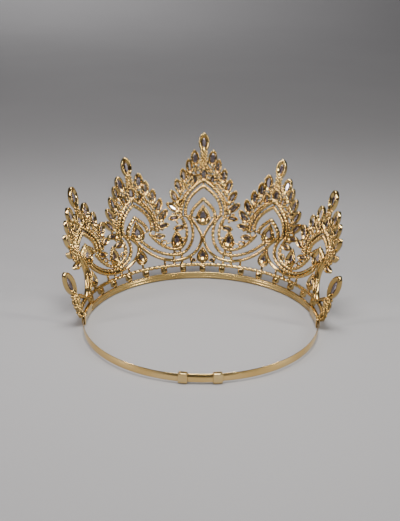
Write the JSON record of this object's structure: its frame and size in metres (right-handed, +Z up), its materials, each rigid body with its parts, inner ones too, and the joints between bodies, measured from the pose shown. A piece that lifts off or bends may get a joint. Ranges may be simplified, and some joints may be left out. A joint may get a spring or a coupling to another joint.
{
  "type": "tiara crown",
  "caption": "Open-backed tiara-style crown: pierced wall of pointed peaks with leaf-shaped stones on a base band, closed behind by sliding strips in keepers.",
  "frame": {"origin": "centre of the base band's ring, on the plane that the crown stands on", "axes": "+Z up through the head opening, -Y towards the decorated front, +X towards the wearer's left, so that seen from behind it is on the left"},
  "size_m": [0.1818, 0.183, 0.1008],
  "materials": {
    "band_gold": "gold plated, polished, with fine seams",
    "rail_gold": "gold plated, polished",
    "wire_gold": "gold plated, cast and polished",
    "setting_gold": "gold plated, polished",
    "strip_gold": "gold plated, bright polished strip",
    "keeper_gold": "gold plated, polished",
    "crystal": "clear faceted crystal"
  },
  "bodies": {
    "tiara": {"base_band": "band_gold", "upper_rail": "rail_gold", "rail_settings": "setting_gold", "rail_stones": "crystal", "centre_frame": "wire_gold", "left_inner_frame": "wire_gold", "right_inner_frame": "wire_gold", "left_outer_frame": "wire_gold", "right_outer_frame": "wire_gold", "centre_leaf_settings": "setting_gold", "left_inner_leaf_settings": "setting_gold", "right_inner_leaf_settings": "setting_gold", "left_outer_leaf_settings": "setting_gold", "right_outer_leaf_settings": "setting_gold", "centre_leaf_stones": "crystal", "left_inner_leaf_stones": "crystal", "right_inner_leaf_stones": "crystal", "left_outer_leaf_stones": "crystal", "right_outer_leaf_stones": "crystal", "centre_drop_settings": "setting_gold", "left_inner_drop_settings": "setting_gold", "right_inner_drop_settings": "setting_gold", "left_outer_drop_settings": "setting_gold", "right_outer_drop_settings": "setting_gold", "centre_drop_stones": "crystal", "left_inner_drop_stones": "crystal", "right_inner_drop_stones": "crystal", "left_outer_drop_stones": "crystal", "right_outer_drop_stones": "crystal", "left_front_swag": "wire_gold", "right_front_swag": "wire_gold", "left_side_swag": "wire_gold", "right_side_swag": "wire_gold", "left_front_pear_setting": "setting_gold", "right_front_pear_setting": "setting_gold", "left_side_pear_setting": "setting_gold", "right_side_pear_setting": "setting_gold", "left_front_pear_stone": "crystal", "right_front_pear_stone": "crystal", "left_side_pear_stone": "crystal", "right_side_pear_stone": "crystal", "left_end_scroll": "wire_gold", "right_end_scroll": "wire_gold", "left_end_leaf_setting": "setting_gold", "right_end_leaf_setting": "setting_gold", "left_end_leaf_stone": "crystal", "right_end_leaf_stone": "crystal", "left_end_socket": "keeper_gold", "right_end_socket": "keeper_gold"},
    "left_back_band": {"left_back_strip": "strip_gold", "right_keeper": "keeper_gold"},
    "right_back_band": {"right_back_strip": "strip_gold", "left_keeper": "keeper_gold"}
  },
  "joints": [
    {"name": "left_back_slide", "type": "hinge", "parent": "tiara", "child": "left_back_band", "pos_m": [0, 0, 0], "axis": [0, 0, -1], "range_deg": [-6, 5.2]},
    {"name": "right_back_slide", "type": "hinge", "parent": "tiara", "child": "right_back_band", "pos_m": [0, 0, 0], "axis": [0, 0, 1], "range_deg": [-6, 5.2]}
  ],
  "couplings": [
    {"joint": "right_back_slide", "follows": "left_back_slide", "ratio": 1}
  ]
}
